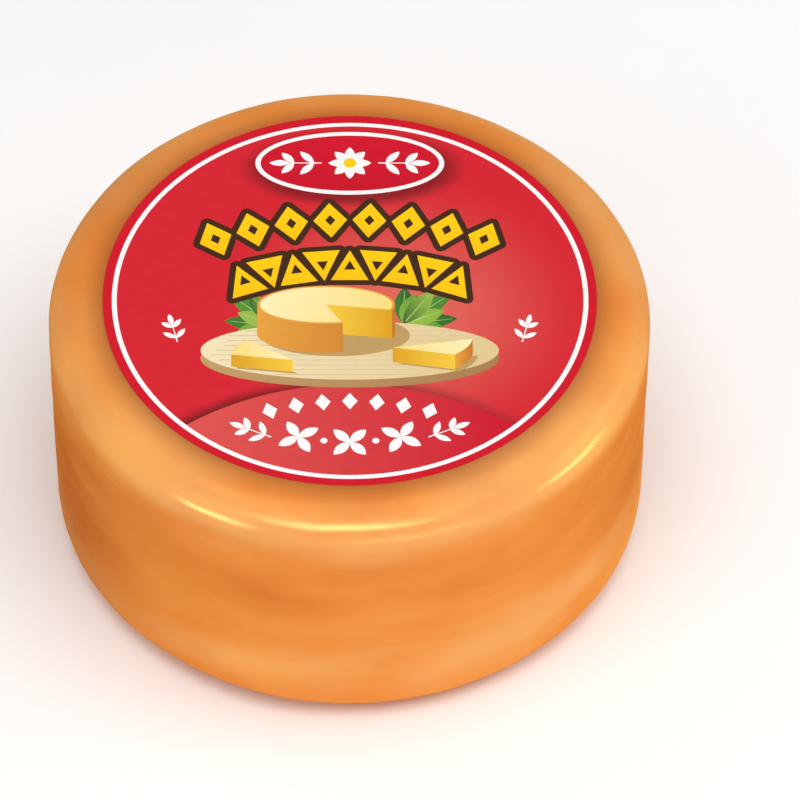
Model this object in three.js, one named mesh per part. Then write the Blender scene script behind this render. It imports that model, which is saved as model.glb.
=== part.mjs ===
// A small whole wheel of smoked kashkaval with a round paper label on its top face.
// The pressed curd fills a round mould, so the wheel is a drum with a straight wall,
// a soft rounded shoulder round the flat top and a tighter rounding at the foot.
// Curing in the smoke leaves the wall and the shoulder a little uneven.
//
// Millimetres, +Z up. The origin is the centre of the flat face the wheel stands on.

import * as THREE from 'three';
import { mergeVertices } from 'three/addons/utils/BufferGeometryUtils.js';

// Driving dimensions
const wheelDiameter = 102;
const wheelHeight = 51;
const labelDiameter = 83.5;
const labelThickness = 0.25;

// Rounded edges, each a quarter of an ellipse: how far it reaches inwards and along the wall
const shoulder = { inward: 9.1, along: 5.7 };
const foot = { inward: 7.8, along: 6.2 };

// Gentle unevenness of the rind: waves that run round the wheel and twist a little with height
const rindWaves = [
  { lobes: 2, height: 0.05, phase: 0.6, twist: 0.4 },
  { lobes: 5, height: 0.04, phase: 2.1, twist: 1.2 },
  { lobes: 9, height: 0.03, phase: 4.4, twist: -1.7 },
];

// Facets
const wheelSegments = 96;
const wallRings = 8;
const roundingRings = 8;
const flatRings = 2;
const labelSegments = 128;

const wheelRadius = wheelDiameter / 2;
const topFlatRadius = wheelRadius - shoulder.inward;
const footFlatRadius = wheelRadius - foot.inward;
const shoulderBase = wheelHeight - shoulder.along;

// Colours, roughness and metalness of the two finishes
const smokedRind = new THREE.MeshStandardMaterial({ color: 0xe98a42, roughness: 0.38, metalness: 0 });
const printedPaper = new THREE.MeshStandardMaterial({ color: 0xd42b38, roughness: 0.5, metalness: 0 });

// Half section of the wheel as (radius, height) points, from the middle of the foot
// up the wall to the middle of the top.
function wheelSection() {
  const section = [];
  for (let i = 0; i <= flatRings; i += 1) {
    section.push(new THREE.Vector2((footFlatRadius * i) / flatRings, 0));
  }
  for (let i = 1; i <= roundingRings; i += 1) {
    const turn = (Math.PI / 2) * (i / roundingRings);
    const radius = footFlatRadius + foot.inward * Math.sin(turn);
    section.push(new THREE.Vector2(radius, foot.along * (1 - Math.cos(turn))));
  }
  for (let i = 1; i <= wallRings; i += 1) {
    const height = THREE.MathUtils.lerp(foot.along, shoulderBase, i / wallRings);
    section.push(new THREE.Vector2(wheelRadius, height));
  }
  for (let i = 1; i <= roundingRings; i += 1) {
    const turn = (Math.PI / 2) * (i / roundingRings);
    const radius = topFlatRadius + shoulder.inward * Math.cos(turn);
    section.push(new THREE.Vector2(radius, shoulderBase + shoulder.along * Math.sin(turn)));
  }
  for (let i = flatRings - 1; i >= 0; i -= 1) {
    section.push(new THREE.Vector2((topFlatRadius * i) / flatRings, wheelHeight));
  }
  return section;
}

// How far the rind stands in or out at an angle round the wheel and a share of its height.
function rindOffset(angle, share) {
  let offset = 0;
  for (const wave of rindWaves) {
    offset += wave.height * Math.cos(wave.lobes * angle + wave.phase + wave.twist * share);
  }
  return offset;
}

// Moves the wall and the roundings by the unevenness and leaves both flat faces flat and level.
function unevenRind(geometry) {
  const position = geometry.getAttribute('position');
  for (let i = 0; i < position.count; i += 1) {
    const x = position.getX(i);
    const y = position.getY(i);
    const z = position.getZ(i);
    const radius = Math.hypot(x, y);
    const share = z / wheelHeight;
    const flatRadius = THREE.MathUtils.lerp(footFlatRadius, topFlatRadius, share);
    const strength = THREE.MathUtils.smoothstep(radius, flatRadius, wheelRadius);
    if (strength > 0) {
      const scale = 1 + (strength * rindOffset(Math.atan2(y, x), share)) / radius;
      position.setXY(i, x * scale, y * scale);
    }
  }
}

function cheeseWheel() {
  const turned = new THREE.LatheGeometry(wheelSection(), wheelSegments);
  turned.rotateX(Math.PI / 2);
  turned.deleteAttribute('normal');
  turned.deleteAttribute('uv');
  const geometry = mergeVertices(turned);
  unevenRind(geometry);
  geometry.computeVertexNormals();
  const mesh = new THREE.Mesh(geometry, smokedRind);
  mesh.name = 'cheese_wheel';
  return mesh;
}

function paperLabel() {
  const geometry = new THREE.CylinderGeometry(
    labelDiameter / 2, labelDiameter / 2, labelThickness, labelSegments);
  geometry.rotateX(Math.PI / 2);
  const mesh = new THREE.Mesh(geometry, printedPaper);
  mesh.name = 'paper_label';
  mesh.position.z = wheelHeight + labelThickness / 2;
  return mesh;
}

const kashkaval = new THREE.Group();
kashkaval.add(cheeseWheel(), paperLabel());

export default kashkaval;
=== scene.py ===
# A small whole wheel of smoked kashkaval with a round printed label, dressed for rendering.
# Lengths in the dictionaries are millimetres, and mm turns them into Blender's metres.

from math import atan2, cos, hypot, pi, radians, sin, sqrt

import bpy
from mathutils import Matrix, Vector, noise
from mathutils.geometry import tessellate_polygon


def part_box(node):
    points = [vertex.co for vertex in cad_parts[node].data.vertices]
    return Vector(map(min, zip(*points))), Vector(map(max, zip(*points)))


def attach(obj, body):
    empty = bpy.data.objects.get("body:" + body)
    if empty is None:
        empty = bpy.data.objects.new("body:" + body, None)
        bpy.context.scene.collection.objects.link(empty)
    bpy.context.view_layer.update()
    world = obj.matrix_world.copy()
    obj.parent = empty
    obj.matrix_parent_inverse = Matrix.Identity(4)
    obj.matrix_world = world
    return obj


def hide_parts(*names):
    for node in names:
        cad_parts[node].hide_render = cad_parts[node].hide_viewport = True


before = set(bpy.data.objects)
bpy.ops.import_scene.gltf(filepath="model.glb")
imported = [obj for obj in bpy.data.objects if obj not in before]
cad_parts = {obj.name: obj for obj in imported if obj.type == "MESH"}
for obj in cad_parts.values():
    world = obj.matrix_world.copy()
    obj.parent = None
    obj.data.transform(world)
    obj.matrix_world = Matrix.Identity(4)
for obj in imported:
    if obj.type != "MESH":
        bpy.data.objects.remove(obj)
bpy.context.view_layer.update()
mm = 0.001

wheelLow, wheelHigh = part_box("cheese_wheel")
labelLow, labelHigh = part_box("paper_label")
wheelHeight = wheelHigh.z / mm
wheelRadius = (wheelHigh.x - wheelLow.x + wheelHigh.y - wheelLow.y) / 4 / mm
labelRadius = (labelHigh.x - labelLow.x) / 2 / mm
labelBottom = labelLow.z / mm
print("frame: wheel", round(wheelRadius * 2, 1), "x", round(wheelHeight, 1), "mm")


def linearColour(hexCode):
    channels = [int(hexCode[i:i + 2], 16) / 255 for i in (1, 3, 5)]
    return tuple(c / 12.92 if c <= 0.04045 else ((c + 0.055) / 1.055) ** 2.4 for c in channels) + (1.0,)


def addNode(tree, kind, settings=None, values=None, links=None, stops=()):
    node = tree.nodes.new(kind)
    for name, value in (settings or {}).items():
        setattr(node, name, value)
    for socket, value in (values or {}).items():
        node.inputs[socket].default_value = value
    for socket, source in (links or {}).items():
        tree.links.new(source, node.inputs[socket])
    for i, (position, colour) in enumerate(stops):
        ramp = node.color_ramp.elements
        stop = ramp[i] if i < 2 else ramp.new(position)
        stop.position = position
        stop.color = colour
    return node


def newMaterial(name):
    material = bpy.data.materials.new(name)
    material.use_nodes = True
    material.node_tree.nodes.clear()
    return material, material.node_tree


def meshPiece(name, points, faces, material, smooth=False):
    mesh = bpy.data.meshes.new(name)
    mesh.from_pydata([[v * mm for v in p] for p in points], [], faces)
    mesh.validate()
    mesh.materials.append(material)
    if smooth:
        mesh.shade_smooth()
    else:
        mesh.shade_flat()
    piece = bpy.data.objects.new(name, mesh)
    bpy.context.scene.collection.objects.link(piece)
    return piece


# camera: long lens, looking down on the label as in the photo
view = {
    "elevation": 50.27,            # degrees
    "distance": 982.7,             # from the middle of the foot
    "lens": 251.3,
    "sensor": 36,
    "clip": (50, 20000),
    "pictureSide": 800,            # pixels of the photo
    "footPixel": (349.8, 488.6),   # where the middle of the foot lies in it
}


def placeCamera():
    data = bpy.data.cameras.new("camera")
    data.sensor_width = view["sensor"]
    data.lens = view["lens"]
    data.clip_start, data.clip_end = [c * mm for c in view["clip"]]
    camera = bpy.data.objects.new("camera", data)
    bpy.context.scene.collection.objects.link(camera)
    lift = radians(view["elevation"])
    back = Vector((0, -cos(lift), sin(lift)))
    straight = Matrix((Vector((1, 0, 0)), back.cross(Vector((1, 0, 0))), back)).transposed()
    # a small turn, with no roll, brings the middle of the foot to its pixel
    pixel = view["sensor"] / view["pictureSide"] / view["lens"]
    half = view["pictureSide"] / 2
    footRay = Vector(((view["footPixel"][0] - half) * pixel, (half - view["footPixel"][1]) * pixel, -1))
    turn = footRay.rotation_difference(Vector((0, 0, -1)))
    camera.rotation_mode = "QUATERNION"
    camera.rotation_quaternion = straight.to_quaternion() @ turn
    camera.location = back * view["distance"] * mm
    bpy.context.scene.camera = camera


# studio: broad softboxes for even light, and narrow cards that only show as streaks in the gloss
studio = {
    "surround": ("#FFFFFF", 0.25),
    "floor": "#FBFAF9",
    "floorReach": 3000,            # from the wheel to each edge
    # azimuth 0 is in front and 90 to the right; these rows are in degrees, metres and watts
    "softboxes": {
        "overhead": dict(azimuth=20, elevation=78, distance=1.1, size=(1.1, 0.9), power=9.3),
        "frontFill": dict(azimuth=20, elevation=6, distance=1.3, size=(1.0, 0.35), power=5.1),
        "leftFill": dict(azimuth=-50, elevation=36, distance=1.3, size=(0.7, 0.5), power=2.1),
        "rightFill": dict(azimuth=90, elevation=31, distance=1.1, size=(0.6, 0.4), power=2.0),
        "backFill": dict(azimuth=-130, elevation=45, distance=1.2, size=(0.6, 0.5), power=0.9),
    },
    "streakCards": {
        "frontCore": dict(azimuth=1, elevation=51.5, distance=1.2, size=(0.4, 0.24), power=5.2),
        "frontTails": dict(azimuth=-3, elevation=51.5, distance=1.2, size=(0.93, 0.18), power=9),
        "leftCard": dict(azimuth=-44.8, elevation=12, distance=1.1, size=(0.33, 0.28), power=7.2),
        "rightCard": dict(azimuth=76.5, elevation=6, distance=1.1, size=(0.45, 0.26), power=7.2),
    },
}


def buildStudio():
    scene = bpy.context.scene
    scene.view_settings.view_transform = "Standard"
    world = bpy.data.worlds.new("surround")
    world.use_nodes = True
    backdrop = world.node_tree.nodes["Background"]
    backdrop.inputs["Color"].default_value = linearColour(studio["surround"][0])
    backdrop.inputs["Strength"].default_value = studio["surround"][1]
    scene.world = world
    for group in ("softboxes", "streakCards"):
        for name, box in studio[group].items():
            data = bpy.data.lights.new(name, "AREA")
            data.shape = "RECTANGLE"
            data.size, data.size_y = box["size"]
            data.energy = box["power"]
            light = bpy.data.objects.new(name, data)
            light.visible_diffuse = group == "softboxes"
            scene.collection.objects.link(light)
            turn, lift = radians(box["azimuth"]), radians(box["elevation"])
            away = Vector((sin(turn) * cos(lift), -cos(turn) * cos(lift), sin(lift)))
            light.location = away * box["distance"] + Vector((0, 0, wheelHigh.z / 2))
            light.rotation_euler = away.to_track_quat("Z", "Y").to_euler()
    material, tree = newMaterial("mattePaperFloor")
    surface = addNode(tree, "ShaderNodeBsdfDiffuse", values={"Color": linearColour(studio["floor"])})
    addNode(tree, "ShaderNodeOutputMaterial", links={"Surface": surface.outputs[0]})
    reach = studio["floorReach"]
    corners = [(-reach, -reach, 0), (reach, -reach, 0), (reach, reach, 0), (-reach, reach, 0)]
    floor = meshPiece("floor", corners, [(0, 1, 2, 3)], material)


placeCamera()
buildStudio()
print("camera and studio in place")

# the wheel of cheese: a turned drum with soft edges, then waves and shallow dents of the pressed rind
rind = {
    "shoulder": (9.1, 5.7),        # how far the rounding reaches inwards and along the wall
    "foot": (7.8, 6.2),
    "waves": ((2, 0.05, 0.6, 0.4), (5, 0.04, 2.1, 1.2), (9, 0.03, 4.4, -1.7)),  # lobes, height, phase, twist
    "dents": ((9.0, 0.09), (3.6, 0.03)),    # width and depth
    "dentFlatness": 1.8,           # dents are this much wider than tall
    "dentFade": 4.0,               # they set in over this distance from the edge of the label
    "segments": 384,
    "rings": dict(footFlat=12, foot=18, wall=46, shoulder=24, topFlat=6),
}


def rindSection():
    # (radius, height, outward slope) from the middle of the foot up to the middle of the top
    rings = rind["rings"]
    inFoot, alongFoot = rind["foot"]
    inTop, alongTop = rind["shoulder"]
    footFlat, topFlat = wheelRadius - inFoot, wheelRadius - inTop
    section = [(footFlat * i / rings["footFlat"], 0, -pi / 2) for i in range(1, rings["footFlat"] + 1)]
    for i in range(1, rings["foot"] + 1):
        turn = pi / 2 * i / rings["foot"]
        slope = -atan2(cos(turn) / alongFoot, sin(turn) / inFoot)
        section.append((footFlat + inFoot * sin(turn), alongFoot * (1 - cos(turn)), slope))
    for i in range(1, rings["wall"] + 1):
        share = i / rings["wall"]
        section.append((wheelRadius, alongFoot + share * (wheelHeight - alongFoot - alongTop), 0))
    for i in range(1, rings["shoulder"] + 1):
        turn = pi / 2 * i / rings["shoulder"]
        slope = atan2(sin(turn) / alongTop, cos(turn) / inTop)
        section.append((topFlat + inTop * cos(turn), wheelHeight - alongTop * (1 - sin(turn)), slope))
    for i in range(1, rings["topFlat"] + 1):
        section.append((topFlat * (1 - i / (rings["topFlat"] + 1)), wheelHeight, pi / 2))
    return section


def smoothStep(value, low, high):
    share = min(1, max(0, (value - low) / (high - low)))
    return share * share * (3 - 2 * share)


def rindPoint(radius, height, slope, angle):
    inFoot, inTop = rind["foot"][0], rind["shoulder"][0]
    share = height / wheelHeight
    flatRadius = wheelRadius - inFoot + share * (inFoot - inTop)
    strength = smoothStep(radius, flatRadius, wheelRadius)
    wave = sum(tall * cos(lobes * angle + phase + twist * share)
               for lobes, tall, phase, twist in rind["waves"])
    radius += strength * wave
    spot = Vector((radius * cos(angle), radius * sin(angle), height))
    dent = 0
    for width, depth in rind["dents"]:
        dent += depth * noise.noise(Vector((spot.x, spot.y, spot.z * rind["dentFlatness"])) / width)
    # the label lies flat, and the foot and the top only dip
    if slope > 0:
        dent *= smoothStep(radius, labelRadius, labelRadius + rind["dentFade"])
    elif height == 0:
        dent = max(0, -dent)
    outward = Vector((cos(slope) * cos(angle), cos(slope) * sin(angle), sin(slope)))
    spot += outward * (dent if height > 0 else -dent)
    spot.z = max(0, min(wheelHeight, spot.z)) if slope else spot.z
    return spot


def buildRind(material):
    section = rindSection()
    count = rind["segments"]
    points, faces = [(0, 0, 0)], []
    for radius, height, slope in section:
        for k in range(count):
            points.append(tuple(rindPoint(radius, height, slope, 2 * pi * k / count)))
    points.append((0, 0, wheelHeight))
    last = len(points) - 1
    for k in range(count):
        after = (k + 1) % count
        faces.append((0, 1 + after, 1 + k))
        for ring in range(len(section) - 1):
            low = 1 + ring * count
            faces.append((low + k, low + after, low + count + after, low + count + k))
        top = last - count
        faces.append((top + k, top + after, last))
    return meshPiece("smoked_rind", points, faces, material, smooth=True)


# Smoked pasta filata rind: dense and a little translucent, with a thin oil film that gleams yellow.
smokedRind = {
    "tones": ((0, "#CC6824"), (0.3, "#DB7C33"), (0.6, "#E5883D"), (1, "#E89E5A")),   # from smoke to pale
    # how pale the rind is at each height: painted sheen on the shoulder and painted bounce light near the
    # foot
    "paleAndSheenAtHeight": ((0, 0.5), (6, 0.75), (13, 0.83), (22, 0.52), (33, 0.4), (40, 0.44), (44, 0.73),
                         (47, 1.06), (49, 1.08), (50.4, 0.81), (51, 0.76)),
    "paintedLabelShadow": "#864828",       # painted shadow of the label, browner on the rind right beside it
    "paintedShadowWidth": 5.5,
    "paintedShadowStrength": 0.69,
    # smoke settles in patches and rubbing leaves streaks: size along x, y and z, how much paler or
    # darker they make the rind, and seed
    "clouds": {"patches": ((26, 26, 26), 0.36, 130.77), "streaks": ((24, 24, 7.5), 0.62, 10.4)},
    # soft spots, brown from the smoke or pale where it was handled, some of them painted shade towards the
    # sides of the wall and beside the label, and painted sheen on the shoulder: azimuth, height, reach along
    # the wall and upwards, strength
    "stainsAndShade": ("#AA3C0D", ((-72, 18, 33, 27, 0.55), (68, 24, 16, 16, 0.25), (3, 50, 17, 3, 0.28),
                           (26, 51, 13, 3, 0.32), (6, 39, 17, 6, 0.16), (92, 39, 18, 12, 0.2),
                           (-124, 48, 24, 7, 0.24), (-140, 24, 22, 14, 0.3), (150, 34, 20, 10, 0.25))),
    "rubbedAndSheen": ("#FFB95F", ((-49, 48, 19, 7, 0.52), (52, 48, 18, 7, 0.4), (-26, 48, 10, 4, 0.22),
                           (-74, 48, 12, 5, 0.3), (74, 49, 14, 5, 0.3), (-20, 12, 15, 8, 0.24),
                           (64, 5, 24, 10, 0.18), (112, 42, 17, 8, 0.2), (-172, 14, 16, 9, 0.25))),
    "honey": ("#E5962F", 0.14),     # yellower patches, where the fat comes to the surface, and how strong
    "pore": 0.7,                   # the real grain is nearer 0.3, too fine to show
    "filmShare": (0.034, 0.036),   # how much of the light the oil film mirrors, facing and at the rim
    "filmTint": "#FFE58C",
    "roughness": (0.19, 0.26),
}


def softSpots(tree, place, spots):
    # how strongly any of the spots covers a point of the wall
    amount = None
    for azimuth, height, width, tall, strength in spots:
        turn = radians(azimuth)
        middle = (wheelRadius * sin(turn), -wheelRadius * cos(turn), height)
        reach = (width, width, tall)
        away = addNode(tree, "ShaderNodeMapping", links={"Vector": place},
                       values={"Scale": [1 / (r * mm) for r in reach],
                               "Location": [-m / r for m, r in zip(middle, reach)]})
        distance = addNode(tree, "ShaderNodeVectorMath", settings={"operation": "LENGTH"},
                           links={0: away.outputs[0]})
        spot = addNode(tree, "ShaderNodeMapRange", settings={"interpolation_type": "SMOOTHSTEP"},
                       values={"From Min": 1, "From Max": 0, "To Max": strength},
                       links={"Value": distance.outputs["Value"]}).outputs[0]
        if amount is None:
            amount = spot
        else:
            amount = addNode(tree, "ShaderNodeMath", settings={"operation": "MAXIMUM"},
                             links={0: amount, 1: spot}).outputs[0]
    return amount


def smokeClouds(tree, place):
    # one cloudy pattern for each row, as a node and as how much paler or darker it makes the rind
    noises, shifts = {}, []
    for name, (size, strength, seed) in smokedRind["clouds"].items():
        stretched = addNode(tree, "ShaderNodeMapping", links={"Vector": place},
                            values={"Scale": [1 / (side * mm) for side in size]})
        noises[name] = addNode(tree, "ShaderNodeTexNoise", settings={"noise_dimensions": "4D"},
                               values={"W": seed, "Scale": 1, "Detail": 3, "Roughness": 0.45},
                               links={"Vector": stretched.outputs[0]})
        shifts.append(addNode(tree, "ShaderNodeMapRange", settings={"clamp": False},
                              values={"From Min": 0, "From Max": 1, "To Min": -strength, "To Max": strength},
                              links={"Value": noises[name].outputs[0]}).outputs[0])
    return noises, shifts


def smokeTint(tree, place, height, noises, shifts):
    # from smoky brown to pale orange, with painted sheen and bounce light by height, smoke stains and rubbed
    # spots mixed with painted shade and sheen, and yellower patches
    # paleness by height holds painted sheen on the shoulder and painted bounce light near the foot
    upWall = addNode(tree, "ShaderNodeMapRange", values={"From Max": wheelHeight * mm},
                     links={"Value": height})
    paleness = addNode(tree, "ShaderNodeValToRGB", links={"Fac": upWall.outputs[0]},
                       stops=[(level / wheelHeight, (pale, pale, pale, 1))
                              for level, pale in smokedRind["paleAndSheenAtHeight"]]).outputs["Color"]
    for shift in shifts:
        paleness = addNode(tree, "ShaderNodeMath", settings={"operation": "ADD"},
                           links={0: paleness, 1: shift}).outputs[0]
    tint = addNode(tree, "ShaderNodeValToRGB", links={"Fac": paleness},
                   stops=[(pale, linearColour(tone)) for pale, tone in smokedRind["tones"]]).outputs["Color"]
    # the yellower patches come from another channel of the same noise
    channels = addNode(tree, "ShaderNodeSeparateColor", links={"Color": noises["patches"].outputs["Color"]})
    honeyShade, honeyStrength = smokedRind["honey"]
    honey = addNode(tree, "ShaderNodeMapRange", links={"Value": channels.outputs["Green"]},
                    values={"From Min": 0.48, "From Max": 0.72, "To Max": honeyStrength}).outputs[0]
    # the brown spots are partly painted shade and the pale ones partly painted sheen
    layers = [(shade, softSpots(tree, place, spots))
              for shade, spots in (smokedRind["stainsAndShade"], smokedRind["rubbedAndSheen"])]
    for shade, amount in layers + [(honeyShade, honey)]:
        tint = addNode(tree, "ShaderNodeMix", settings={"data_type": "RGBA"},
                       values={7: linearColour(shade)}, links={0: amount, 6: tint}).outputs[2]
    return tint


def paintedShadowMask(tree, place, height):
    # how strong the painted shadow of the label is on the ring round it, on the top face and the shoulder
    # alone
    level = addNode(tree, "ShaderNodeVectorMath", settings={"operation": "MULTIPLY"},
                    values={1: (1, 1, 0)}, links={0: place})
    fromAxis = addNode(tree, "ShaderNodeVectorMath", settings={"operation": "LENGTH"},
                       links={0: level.outputs[0]})
    shade = addNode(tree, "ShaderNodeMapRange", settings={"interpolation_type": "SMOOTHERSTEP"},
                    values={"From Min": (labelRadius + smokedRind["paintedShadowWidth"]) * mm,
                            "From Max": (labelRadius - smokedRind["paintedShadowWidth"] / 2) * mm,
                            "To Max": smokedRind["paintedShadowStrength"]},
                    links={"Value": fromAxis.outputs["Value"]})
    onTop = addNode(tree, "ShaderNodeMath", settings={"operation": "GREATER_THAN"},
                    values={1: (wheelHeight - rind["shoulder"][1]) * mm}, links={0: height})
    return addNode(tree, "ShaderNodeMath", settings={"operation": "MULTIPLY"},
                   links={0: shade.outputs[0], 1: onTop.outputs[0]}).outputs[0]


def smokedRindMaterial():
    material, tree = newMaterial("smokedPastaFilataRind")
    place = addNode(tree, "ShaderNodeTexCoord").outputs["Object"]
    height = addNode(tree, "ShaderNodeSeparateXYZ", links={0: place}).outputs["Z"]
    noises, shifts = smokeClouds(tree, place)
    tint = smokeTint(tree, place, height, noises, shifts)
    # the painted shadow of the label darkens the rind right round it
    colour = addNode(tree, "ShaderNodeMix", settings={"data_type": "RGBA"},
                     values={7: linearColour(smokedRind["paintedLabelShadow"])},
                     links={0: paintedShadowMask(tree, place, height), 6: tint})
    pores = addNode(tree, "ShaderNodeTexNoise", links={"Vector": place},
                    values={"Scale": 1 / (smokedRind["pore"] * mm), "Detail": 2})
    bump = addNode(tree, "ShaderNodeBump", values={"Strength": 0.1, "Distance": 0.05 * mm},
                   links={"Height": pores.outputs[0]})
    body = addNode(tree, "ShaderNodeBsdfPrincipled",
                   values={"Roughness": 0.6, "IOR": 1.46, "Specular IOR Level": 0,
                           "Subsurface Weight": 0.2, "Subsurface Radius": (1.0, 0.45, 0.2),
                           "Subsurface Scale": 2.5 * mm},
                   links={"Base Color": colour.outputs[2], "Normal": bump.outputs[0]})
    # the oil film lies over it and is a little smoother in some patches than in others
    smooth, dull = smokedRind["roughness"]
    gloss = addNode(tree, "ShaderNodeMapRange", links={"Value": noises["patches"].outputs[0]},
                    values={"From Min": 0.3, "From Max": 0.7, "To Min": smooth, "To Max": dull})
    film = addNode(tree, "ShaderNodeBsdfGlossy", values={"Color": linearColour(smokedRind["filmTint"])},
                   links={"Roughness": gloss.outputs[0], "Normal": bump.outputs[0]})
    facing = addNode(tree, "ShaderNodeLayerWeight", values={"Blend": 0.3}).outputs["Facing"]
    share = addNode(tree, "ShaderNodeMapRange", links={"Value": facing},
                    values={"To Min": smokedRind["filmShare"][0], "To Max": smokedRind["filmShare"][1]})
    surface = addNode(tree, "ShaderNodeMixShader",
                      links={0: share.outputs[0], 1: body.outputs[0], 2: film.outputs[0]})
    addNode(tree, "ShaderNodeOutputMaterial", links={"Surface": surface.outputs[0]})
    return material


rindPiece = buildRind(smokedRindMaterial())
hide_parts("cheese_wheel")
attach(rindPiece, "root")
print("rind:", len(rindPiece.data.polygons), "faces")

# the label: a paper disc with thin layers of print, all within the CAD label's thickness
label = {
    "paper": 0.13,                 # thickness; the print takes the rest
    "layer": 0.01,                 # each layer of print lies this much higher
    "rings": 84, "segments": 240,  # the sheet's own points, which carry its soft changes of red
    "rimRed": "#CF0A24", "fieldRed": "#D31E2C", "glowCoral": "#DE6558",
    "glow": (9, -4, 33),           # middle and reach of the lighter part of the field
    "shadowRed": "#6A0E14",
    "white": "#F8F4F3",
    "ring": (39.42, 40.25),
    "ringMiddle": (0.06, -0.19),   # the ring is printed a little nearer to the front edge
    "sideSprig": (30.6, -14, 6.4),    # small white sprigs at both sides: radius, angle, length
    "petalWidth": 0.48,            # of the petal's length
}

# white sprig: a leaf at the end of a thin stem, with two pairs of side leaves, in shares of its length
whiteSprig = {
    "stem": 0.7,
    "stemHalf": (0.12, 0.08),      # half its width at the root and at the end, in millimetres
    "endLeaf": (0.6, 0.4), "sideLeaves": ((0.52, 0.36), (0.14, 0.4)),    # where they start, how long
    "spread": 48, "leafWidth": 0.15,
}

# plaque at the top: a crimson oval with a white edge, a flower and two sprigs
plaque = {
    "middle": (0, 30.5), "half": (15.4, 6.5), "edge": 0.9, "crimson": ("#C80624", "#D20928"),
    "petals": (8, 3.7), "eye": 1.1, "sprig": (4.9, 9),      # how many and length, radius, start and length
    # soft shadow printed under it: how far it is shifted and how much larger it is, strength, fade
    "shadow": ((0.5, -1.2), 1.4, 0.75, (0.9, 1.22)),
}

# garland across the upper half: a row of lozenges over a row of triangles, on two arcs
garland = {
    "centre": (0, -44), "upper": (61.2, 8, 6.7), "lower": (50.8, 9, 4.6),   # radius, how many, pitch
    "lozenge": (5.8, 8.0), "triangle": (6.4, 6.8), "eye": 0.3,
    "outline": 1.1, "yellow": ("#FBC200", "#FFCC00"), "brown": "#41230D",
}

# band along the bottom: coral to crimson, with white lozenges over a row of flowers
band = {
    "centre": (0, -66), "radius": 46, "reds": ("#DB524D", "#CA0026"),
    "lozenges": (42.4, 7, 4.5, (2.6, 3.6)),      # radius of the row, how many, pitch, width and height
    "flowers": (32.5, 3, 8.6, 3.8), "dot": 0.6,  # radius of the row, how many, pitch, petal; dots between
    "sprig": (22.5, 34, 7.6),                    # turn from the middle, radius, length
    # soft shadow printed above it: strength, how much it weakens to the right, fade
    "shadow": (0.75, 0.012, (-0.5, 2.6)),
}

# still life: a wheel of cheese with a piece cut out, on a round board, with wedges and sprays of leaves
stillLife = {
    "board": ((0, -12.4), (25, 6.5), 1.7),       # middle, half axes, thickness
    "boardTop": ("#F1E0B8", "#DFC48E"), "boardEdge": ("#C19A66", "#A67B4B"), "boardShade": "#BD9A5E",
    "grain": ("#D3B67E", 11),                    # lines across the board
    "wheel": ((-4, -2.2), (11.6, 4.3), 6.4), "cut": (-76, -16),
    "wheelRim": (0.45, 0.3),                     # width of the rim of rind, along x and y
    "wheelShade": ((1.6, -0.5), (0.9, 0.3)),     # how far it is shifted and how much wider it is
    "rind": ("#E6A03C", "#C57322"), "top": ("#FDEDB4", "#F6DA7C"), "paste": ("#F4C93F", "#DD9F1C"),
    # tip, near and far end of the rind, height
    "wedges": (((7.2, -11.8), (17.6, -13.4), (20.6, -9.9), 3.2),
               ((-9.5, -14.6), (-19.8, -13.4), (-17.2, -10.2), 2.6)),
    "wedgeBow": 0.22, "wedgeShade": (0.9, -0.45),    # how far the rind bows out, shift of the shade
    # root, first tilt, step, how many, longest
    "sprays": (((-12, -7), 92, 16, 7, 11.5), ((9, -6.5), 88, -16, 7, 11.5)),
    "leafWidth": 3.3, "vein": "#BCD27E",
    "leafGreens": ("#427F2F", "#84AE3C", "#2F6425", "#5C9634", "#9CBE4C"),
}


def arc(middle, half, start, end, count):
    turns = [radians(start + (end - start) * i / count) for i in range(count + 1)]
    return [(middle[0] + half[0] * cos(t), middle[1] + half[1] * sin(t)) for t in turns]


def oval(middle, half, count=72):
    return arc(middle, half, 0, 360, count)[:-1]


def turned(points, angle, middle):
    c, s = cos(radians(angle)), sin(radians(angle))
    return [(middle[0] + x * c - y * s, middle[1] + x * s + y * c) for x, y in points]


def grown(points, by, steps=5):
    # a convex outline, anticlockwise, grown outwards with round corners
    result = []
    for i, (x, y) in enumerate(points):
        x0, y0 = points[i - 1]
        x1, y1 = points[(i + 1) % len(points)]
        first, last = atan2(x0 - x, y - y0), atan2(x - x1, y1 - y)
        while last < first:
            last += 2 * pi
        for k in range(steps + 1):
            turn = first + (last - first) * k / steps
            result.append((x + by * cos(turn), y + by * sin(turn)))
    return result


def lozenge(width, height):
    return [(width / 2, 0), (0, height / 2), (-width / 2, 0), (0, -height / 2)]


def triangle(width, height):
    return [(width / 2, -height / 2), (0, height / 2), (-width / 2, -height / 2)]


def leaf(length, width, count=9):
    upper = [(length * i / count, width / 2 * sin(pi * i / count) ** 0.8) for i in range(count + 1)]
    return upper[::-1] + [(x, -y) for x, y in upper[1:-1]]


def mixed(first, second, share):
    return tuple(a + (b - a) * share for a, b in zip(first, second))


def inkTints(points, colour, direction=None):
    # one colour all over, or from the first to the second along a direction
    if direction is None:
        return [linearColour(colour)] * len(points)
    ends = [linearColour(c) for c in colour]
    reach = [x * direction[0] + y * direction[1] for x, y in points]
    low, high = min(reach), max(reach)
    return [mixed(*ends, (r - low) / (high - low)) for r in reach]


def inkOn(piece, colours):
    ink = piece.data.color_attributes.new("ink", "FLOAT_COLOR", "POINT")
    for value, colour in zip(ink.data, colours):
        value.color = colour


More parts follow.
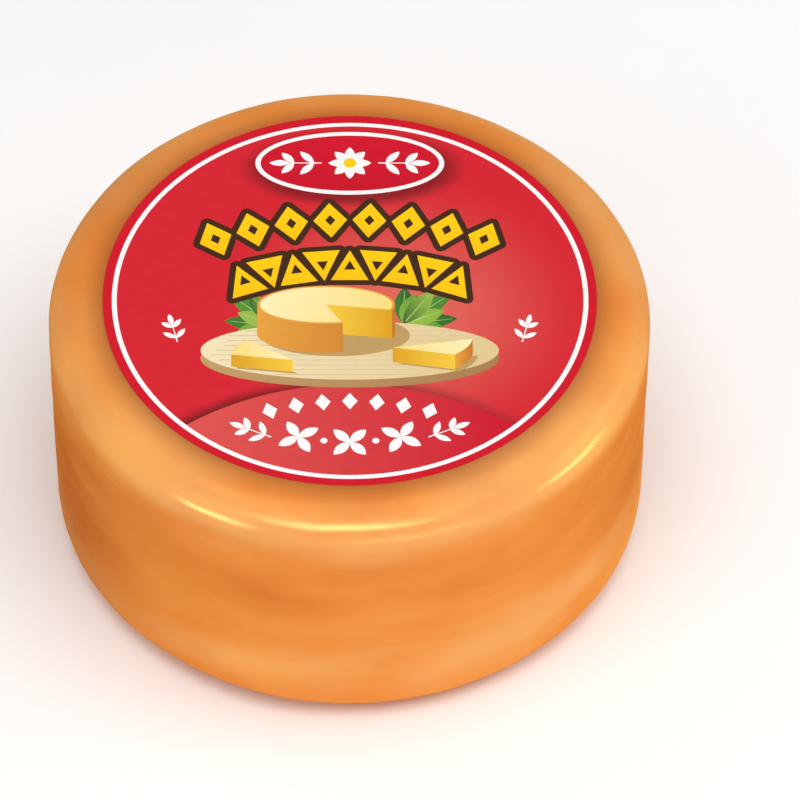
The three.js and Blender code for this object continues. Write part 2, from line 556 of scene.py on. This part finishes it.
def printPiece(name, shapes, material):
    # each shape is (layer, outline, colour) or (layer, outline, (left or low colour, other), direction);
    # layers are counted up from the paper, and an outline may be a list of two, the second one a hole
    base = labelBottom + label["paper"]
    points, faces, colours = [], [], []
    for layer, outline, colour, *direction in shapes:
        loops = outline if isinstance(outline[0], list) else [outline]
        flat = [point for loop in loops for point in loop]
        start, count = len(points), len(flat)
        top = base + layer * label["layer"]
        points += [(x, y, base) for x, y in flat] + [(x, y, top) for x, y in flat]
        colours += inkTints(flat, colour, *direction) * 2
        for a, b, c in tessellate_polygon([[Vector((x, y, 0)) for x, y in loop] for loop in loops]):
            (xa, ya), (xb, yb), (xc, yc) = flat[a], flat[b], flat[c]
            if (xb - xa) * (yc - ya) < (xc - xa) * (yb - ya):
                b, c = c, b
            faces.append((start + count + a, start + count + b, start + count + c))
            faces.append((start + a, start + c, start + b))
        for loop in loops:
            turns = sum(loop[i - 1][0] * p[1] - p[0] * loop[i - 1][1] for i, p in enumerate(loop))
            outward = (turns > 0) == (loop is loops[0])
            for i in range(len(loop)):
                low, high = start + i, start + (i + 1) % len(loop)
                side = (low, high, count + high, count + low)
                faces.append(side if outward else side[::-1])
            start += len(loop)
    piece = meshPiece(name, points, faces, material)
    inkOn(piece, colours)
    return piece


def fieldColour(x, y):
    if hypot(x, y) > sum(label["ring"]) / 2:
        return linearColour(label["rimRed"])
    glowX, glowY, reach = label["glow"]
    share = smoothStep(hypot(x - glowX, y - glowY), 0, reach)
    colour = mixed(linearColour(label["glowCoral"]), linearColour(label["fieldRed"]), share)
    # the shadows under the plaque and above the band
    (shiftX, shiftY), larger, strength, fade = plaque["shadow"]
    (middleX, middleY), (halfX, halfY) = plaque["middle"], plaque["half"]
    away = hypot((x - middleX - shiftX) / (halfX + larger), (y - middleY - shiftY) / (halfY + larger))
    plaqueShade = strength * (1 - smoothStep(away, *fade))
    strength, weaker, fade = band["shadow"]
    above = hypot(x - band["centre"][0], y - band["centre"][1]) - band["radius"]
    bandShade = (strength - weaker * x) * (1 - smoothStep(above, *fade))
    return mixed(colour, linearColour(label["shadowRed"]), min(1, max(plaqueShade, bandShade)))


def buildPaper(material):
    rings, segments = label["rings"], label["segments"]
    top = labelBottom + label["paper"]
    points, faces = [(0, 0, top)], []
    for ring in range(1, rings + 1):
        for k in range(segments):
            radius, turn = labelRadius * ring / rings, 2 * pi * k / segments
            points.append((radius * cos(turn), radius * sin(turn), top))
    last = len(points) - segments
    points += [(x, y, labelBottom) for x, y, z in points[last:]]
    for k in range(segments):
        after = (k + 1) % segments
        faces.append((0, 1 + k, 1 + after))
        for ring in range(rings - 1):
            low = 1 + ring * segments
            faces.append((low + k, low + segments + k, low + segments + after, low + after))
        faces.append((last + k, last + segments + k, last + segments + after, last + after))
    faces.append(tuple(last + segments + k for k in reversed(range(segments))))
    piece = meshPiece("label_sheet", points, faces, material)
    inkOn(piece, [fieldColour(x, y) for x, y, z in points])
    return piece


def flower(middle, petals, length, tilt):
    petal = leaf(length, length * label["petalWidth"])
    return [turned(petal, tilt + 360 * k / petals, middle) for k in range(petals)]


def sprig(root, tilt, length):
    stem, (rootHalf, endHalf) = length * whiteSprig["stem"], whiteSprig["stemHalf"]
    outline = [(0, -rootHalf), (stem, -endHalf), (stem, endHalf), (0, rootHalf)]
    leaves = [turned(outline, tilt, root)]
    along, size = whiteSprig["endLeaf"]
    rows = [(along, size, 0)]
    for along, size in whiteSprig["sideLeaves"]:
        rows += [(along, size, whiteSprig["spread"]), (along, size, -whiteSprig["spread"])]
    for along, size, turn in rows:
        spot = turned([(length * along, 0)], tilt, root)[0]
        leaves.append(turned(leaf(length * size, length * whiteSprig["leafWidth"]), tilt + turn, spot))
    return leaves


def whiteShapes(outlines, layer, step=0.1):
    # neighbours lie on slightly different heights, so that none of them share a face
    return [(layer + step * i, outline, label["white"]) for i, outline in enumerate(outlines)]


def plaqueShapes():
    middle, half = plaque["middle"], plaque["half"]
    edge = [h + plaque["edge"] for h in half]
    petals, petal = plaque["petals"]
    start, length = plaque["sprig"]
    white = flower(middle, petals, petal, 0)
    for side, tilt in ((1, 0), (-1, 180)):
        white += sprig((middle[0] + start * side, middle[1]), tilt, length)
    eye = oval(middle, (plaque["eye"], plaque["eye"]), 24)
    return [(2, oval(middle, edge), label["white"]), (4, oval(middle, half), plaque["crimson"], (0, 1)),
            *whiteShapes(white, 6, 0.08), (8.5, eye, garland["yellow"][1])]


def spotOnArc(centre, radius, k, count, pitch):
    # where item k of a row stands on an arc that bulges upwards, and how far it is tilted
    along = (k - (count - 1) / 2) * pitch / radius
    return (centre[0] + radius * sin(along), centre[1] + radius * cos(along)), -along * 180 / pi


def garlandShapes():
    shapes = []
    for row, outline in (("upper", lozenge(*garland["lozenge"])), ("lower", triangle(*garland["triangle"]))):
        radius, count, pitch = garland[row]
        eye = [(x * garland["eye"], y * garland["eye"]) for x, y in outline]
        for k in range(count):
            spot, tilt = spotOnArc(garland["centre"], radius, k, count, pitch)
            # every other triangle stands on its tip
            if row == "lower" and k % 2:
                tilt += 180
            shape = turned(outline, tilt, spot)
            shapes.append((3 + 0.4 * (k % 2), grown(shape, garland["outline"]), garland["brown"]))
            shapes.append((5, shape, garland["yellow"], (0, 1)))
            shapes.append((7, turned(eye, tilt, spot), garland["brown"]))
    return shapes


def bandShapes():
    (cx, cy), radius, inner = band["centre"], band["radius"], sum(label["ring"]) / 2
    # where the band's upper edge meets the ring
    meet = (radius ** 2 - inner ** 2 - cy ** 2) / (-2 * cy)
    half = sqrt(inner ** 2 - meet ** 2)
    edgeTurn, ringTurn = [atan2(y, half) * 180 / pi for y in (meet - cy, meet)]
    upper = arc((cx, cy), (radius, radius), edgeTurn, 180 - edgeTurn, 60)
    lower = arc((0, 0), (inner, inner), -180 - ringTurn, ringTurn, 60)
    shapes = [(1, upper + lower[1:-1], band["reds"], (1, 0))]
    row, count, pitch, size = band["lozenges"]
    for k in range(count):
        spot, tilt = spotOnArc(band["centre"], row, k, count, pitch)
        shapes.append((3, turned(lozenge(*size), tilt, spot), label["white"]))
    # the flowers follow the ring, with a dot between each two
    row, count, pitch, petal = band["flowers"]
    for k in range(2 * count - 1):
        along = (k - count + 1) * pitch / 2 / row
        spot = (row * sin(along), -row * cos(along))
        dot = [oval(spot, (band["dot"], band["dot"]), 16)]
        shapes += whiteShapes(dot if k % 2 else flower(spot, 4, petal, 45 + along * 180 / pi), 3)
    # sprigs run on along the ring at both ends
    turn, row, length = band["sprig"]
    for side in (1, -1):
        angle = -90 + side * turn
        root = turned([(row, 0)], angle, (0, 0))[0]
        shapes += whiteShapes(sprig(root, angle + side * 92, length), 3)
    return shapes


def wedgeShapes(tip, near, far, low, layer):
    # a cut wedge seen from above and in front; near and far are the ends of its rind
    spread = [(n + f) / 2 - t for n, f, t in zip(near, far, tip)]
    bow = [[n + (f - n) * t + s * stillLife["wedgeBow"] * t * (1 - t) for n, f, s in zip(near, far, spread)]
           for t in (0.25, 0.5, 0.75)]
    outer = [near] + [tuple(p) for p in bow] + [far]
    castX, castY = stillLife["wedgeShade"]
    cast = [(x + castX, y - low + castY) for x, y in [tip] + outer]
    rindSide = outer + [(x, y - low) for x, y in reversed(outer)]
    front = [tip, (tip[0], tip[1] - low), (near[0], near[1] - low), near]
    return [(layer, cast, stillLife["boardShade"]), (layer + 1, rindSide, stillLife["rind"], (1, 0)),
            (layer + 2, front, stillLife["paste"], (-1, 0)),
            (layer + 3, [tip] + outer, stillLife["top"], (-1, 0))]


def sprayShapes(root, tilt, step, count, longest):
    # a fan of leaves, longest near the middle and a little uneven, each in two of the greens
    shapes = []
    greens = stillLife["leafGreens"]
    for i in range(count):
        length = longest * (1 - 0.09 * abs(i - count / 2 + 0.5)) * (0.86 + 0.14 * cos(2.4 * i))
        layer = 0.6 + 0.25 * ((i * 3) % count)
        ends = (greens[i % len(greens)], greens[(i + 2) % len(greens)])
        shapes.append((layer, turned(leaf(length, stillLife["leafWidth"]), tilt, root), ends, (1, 0.3)))
        vein = [(0.8, -0.1), (length * 0.9, -0.03), (length * 0.9, 0.03), (0.8, 0.1)]
        shapes.append((layer + 0.1, turned(vein, tilt, root), stillLife["vein"]))
        tilt += step
    return shapes


def boardShapes():
    (bx, by), (bw, bh), thick = stillLife["board"]
    shapes = [(2.6, oval((bx, by - thick), (bw, bh)), stillLife["boardEdge"], (1, 0)),
              (3, oval((bx, by), (bw, bh)), stillLife["boardTop"], (0.9, -0.4))]
    grain, lines = stillLife["grain"]
    for k in range(-(lines // 2), lines // 2 + 1):
        y = k * bh * 2 / (lines + 1)
        reach = bw * sqrt(1 - (y / bh) ** 2) * (0.9 + 0.05 * sin(5 * k))
        # thin, and a little thicker at the left end
        line = [(-reach, y - 0.03), (reach * 0.96, y), (reach * 0.96, y + 0.06), (-reach, y + 0.1)]
        shapes.append((3.4, [(bx + px, by + py) for px, py in line], grain))
    return shapes


def cutWheelShapes():
    (wx, wy), (ww, wh), tall = stillLife["wheel"]
    (shiftX, shiftY), (widerX, widerY) = stillLife["wheelShade"]
    rimX, rimY = stillLife["wheelRim"]
    foot = (wx, wy - tall)
    side = [(wx - ww, wy)] + arc(foot, (ww, wh), 180, 360, 40) + [(wx + ww, wy)]
    rim = arc((wx, wy), (ww, wh), *stillLife["cut"], 16)
    footRim = arc(foot, (ww, wh), *stillLife["cut"], 16)
    # one cut face shows, from the middle to the right; the left part hides where it starts
    (x1, y1), (x2, y2) = rim[0], rim[-1]
    hidden = (x1, y2 - tall + (x2 - x1) / (x2 - wx) * (wy - y2))
    return [(4, oval((wx + shiftX, foot[1] + shiftY), (ww + widerX, wh + widerY)), stillLife["boardShade"]),
            (5, side, stillLife["rind"], (1, 0)),
            (6, oval((wx, wy), (ww, wh)), stillLife["rind"][0]),
            (7, oval((wx, wy), (ww - rimX, wh - rimY)), stillLife["top"], (1, -0.5)),
            (8, [(wx, wy), rim[0]] + footRim + [rim[-1]], stillLife["boardShade"]),
            (9, [(wx, wy), (x1, y1), hidden, (x2, y2 - tall), (x2, y2)], stillLife["paste"], (1, 0))]


def stillLifeShapes():
    sprays = [shape for spray in stillLife["sprays"] for shape in sprayShapes(*spray)]
    wedges = [shape for wedge in stillLife["wedges"] for shape in wedgeShapes(*wedge, 6.5)]
    return sprays + boardShapes() + cutWheelShapes() + wedges


def ringShapes():
    # one white ring: the outer circle with the inner one as its hole
    circles = [oval(label["ringMiddle"], (edge, edge), 180) for edge in reversed(label["ring"])]
    return [(2, circles, label["white"])]


def sideSprigShapes():
    radius, tilt, length = label["sideSprig"]
    shapes = []
    for angle, turn in ((tilt, 90), (180 - tilt, -90)):
        middle = turned([(radius, 0)], angle, (0, 0))[0]
        root = turned([(-length / 2, 0)], angle + turn, middle)[0]
        shapes += whiteShapes(sprig(root, angle + turn, length), 2)
    return shapes


def coatedPaperMaterial():
    # Offset print on coated paper: even, dense colour with a faint mottle, under a satin surface.
    material, tree = newMaterial("offsetPrintOnCoatedPaper")
    ink = addNode(tree, "ShaderNodeAttribute", settings={"attribute_name": "ink"})
    place = addNode(tree, "ShaderNodeTexCoord").outputs["Object"]
    mottle = addNode(tree, "ShaderNodeTexNoise", links={"Vector": place},
                     values={"Scale": 1 / (1.6 * mm), "Detail": 3, "Roughness": 0.6})
    shift = addNode(tree, "ShaderNodeMapRange", links={"Value": mottle.outputs[0]},
                    values={"From Min": 0.3, "From Max": 0.7, "To Min": 0.955, "To Max": 1.0})
    colour = addNode(tree, "ShaderNodeVectorMath", settings={"operation": "SCALE"},
                     links={"Vector": ink.outputs["Color"], "Scale": shift.outputs[0]})
    # paper fibres are about 0.03 wide, too fine to show, so they are drawn at 0.35
    fibres = addNode(tree, "ShaderNodeTexNoise", links={"Vector": place},
                     values={"Scale": 1 / (0.35 * mm), "Detail": 2})
    bump = addNode(tree, "ShaderNodeBump", values={"Strength": 0.08, "Distance": 0.02 * mm},
                   links={"Height": fibres.outputs[0]})
    gloss = addNode(tree, "ShaderNodeMapRange", links={"Value": mottle.outputs[0]},
                    values={"From Min": 0.3, "From Max": 0.7, "To Min": 0.42, "To Max": 0.52})
    surface = addNode(tree, "ShaderNodeBsdfPrincipled", values={"IOR": 1.5, "Specular IOR Level": 0.2},
                      links={"Base Color": colour.outputs[0], "Roughness": gloss.outputs[0],
                             "Normal": bump.outputs[0]})
    addNode(tree, "ShaderNodeOutputMaterial", links={"Surface": surface.outputs[0]})
    return material


coatedPaper = coatedPaperMaterial()
sheet = buildPaper(coatedPaper)
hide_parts("paper_label")
prints = {
    "label_ring": ringShapes(),
    "label_plaque": plaqueShapes(),
    "label_garland": garlandShapes(),
    "label_band": bandShapes(),
    "label_still_life": stillLifeShapes(),
    "label_side_sprigs": sideSprigShapes(),
}
for piece in [sheet] + [printPiece(name, shapes, coatedPaper) for name, shapes in prints.items()]:
    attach(piece, "root")
print("label: sheet and", len(prints), "prints")
